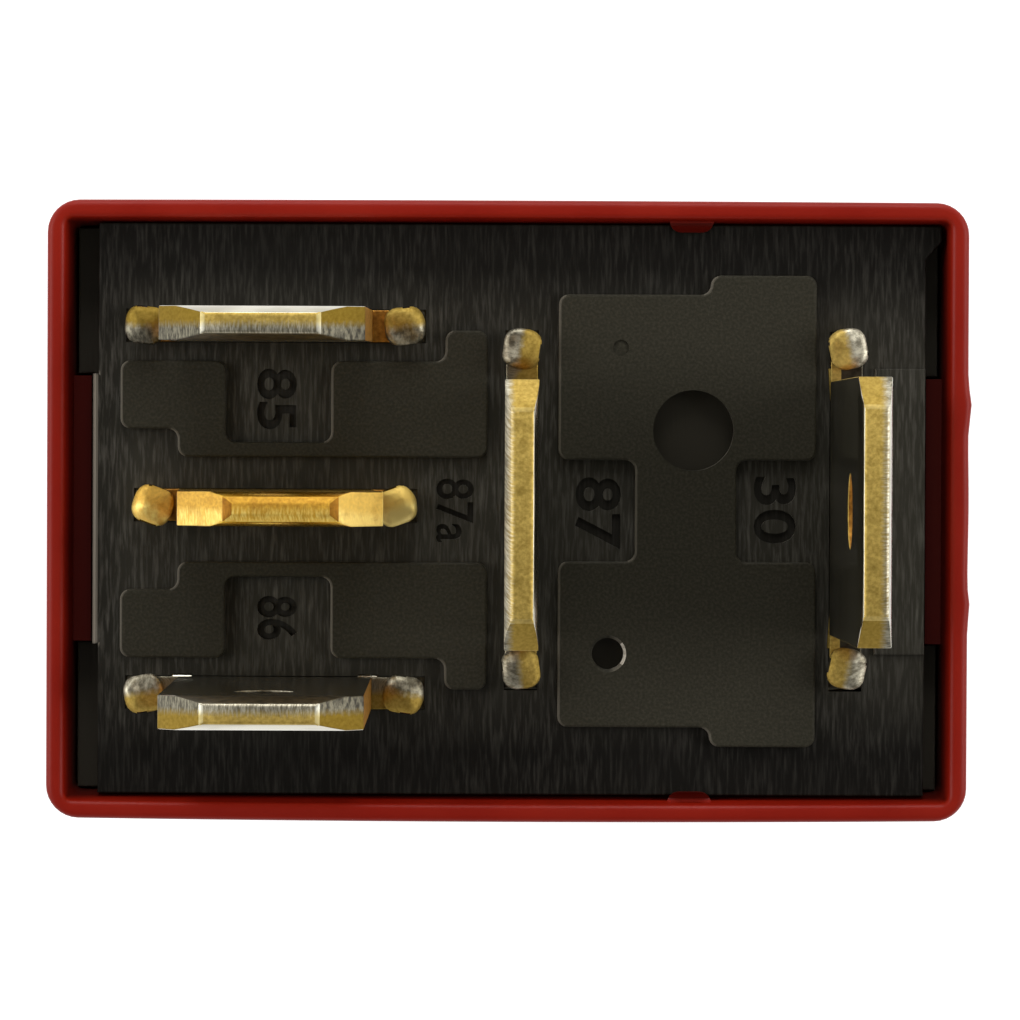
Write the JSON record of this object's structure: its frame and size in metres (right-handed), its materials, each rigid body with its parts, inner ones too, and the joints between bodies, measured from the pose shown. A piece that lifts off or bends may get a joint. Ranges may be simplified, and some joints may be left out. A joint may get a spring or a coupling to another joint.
{
  "type": "automotive relay",
  "caption": "Change-over micro relay for a vehicle: boxy red cover, black base with raised lands, and blade terminals with detent holes. The armature inside pivots to switch.",
  "frame": {"origin": "centre of the cover's closed end, which the relay stands on", "axes": "+Z from the closed end to the blades, +X along the cover towards blade 30, +Y across it towards blade 85"},
  "size_m": [0.0228, 0.0154, 0.0362],
  "materials": {
    "red_cover": "moulded red thermoplastic, satin",
    "black_base": "moulded black glass-filled thermoplastic, satin",
    "tinned_brass": "tin-plated brass with bare sheared edges",
    "bare_brass": "bright bare brass",
    "soft_iron": "nickel-plated soft iron",
    "bobbin_plastic": "natural moulded plastic",
    "enamelled_copper": "enamelled copper wire",
    "contact_silver": "silver alloy",
    "spring_copper": "rolled copper alloy"
  },
  "bodies": {
    "relay": {"cover": "red_cover", "base": "black_base", "terminal_30": "tinned_brass", "terminal_87": "tinned_brass", "terminal_87a": "bare_brass", "terminal_85": "tinned_brass", "terminal_86": "tinned_brass", "yoke": "soft_iron", "core": "soft_iron", "bobbin": "bobbin_plastic", "winding": "enamelled_copper", "coil_pin_85": "bare_brass", "coil_pin_86": "bare_brass", "terminal_rivets": "bare_brass", "fixed_contact_87": "contact_silver", "fixed_contact_87a": "contact_silver", "spring_rivets": "bare_brass"},
    "armature": {"armature": "soft_iron", "contact_spring": "spring_copper", "moving_contact": "contact_silver", "armature_rivets": "bare_brass"}
  },
  "joints": [
    {"name": "armature_hinge", "type": "hinge", "parent": "relay", "child": "armature", "pos_m": [0.008, 0, 0.00557], "axis": [0, 1, 0], "range_deg": [0, 3], "stiffness_Nm_per_rad": 0.06, "springref_deg": -3.44, "deforming": ["contact_spring"]}
  ]
}
